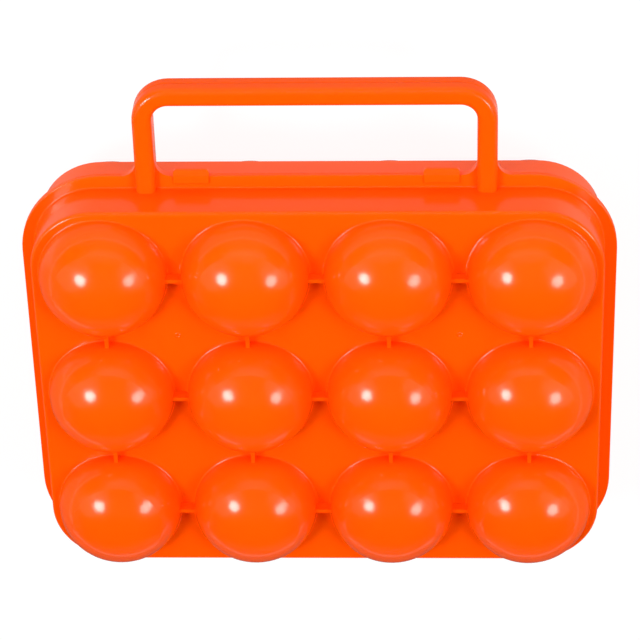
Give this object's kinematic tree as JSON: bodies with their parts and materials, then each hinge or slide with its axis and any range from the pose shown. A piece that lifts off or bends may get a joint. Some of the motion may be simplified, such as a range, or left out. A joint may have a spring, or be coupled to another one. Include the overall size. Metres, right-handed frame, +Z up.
{
  "type": "egg carrier",
  "caption": "Hinged two-shell plastic egg carrier with round cups on both faces, edge latches and a split carrying handle that closes with the lid.",
  "frame": {"origin": "on the surface that the closed carrier lies on, under the middle of its bounding box", "axes": "+Z up through the lid, +Y towards the handle, +X along the hinge"},
  "size_m": [0.2404, 0.2306, 0.0844],
  "materials": {
    "orange_plastic": "glossy injection-moulded orange polypropylene"
  },
  "bodies": {
    "base": {"base_shell": "orange_plastic"},
    "lid": {"lid_shell": "orange_plastic"}
  },
  "joints": [
    {"name": "lid_hinge", "type": "hinge", "parent": "base", "child": "lid", "pos_m": [0, -0.11243, 0.0422], "axis": [1, 0, 0], "range_deg": [0, 180]}
  ]
}
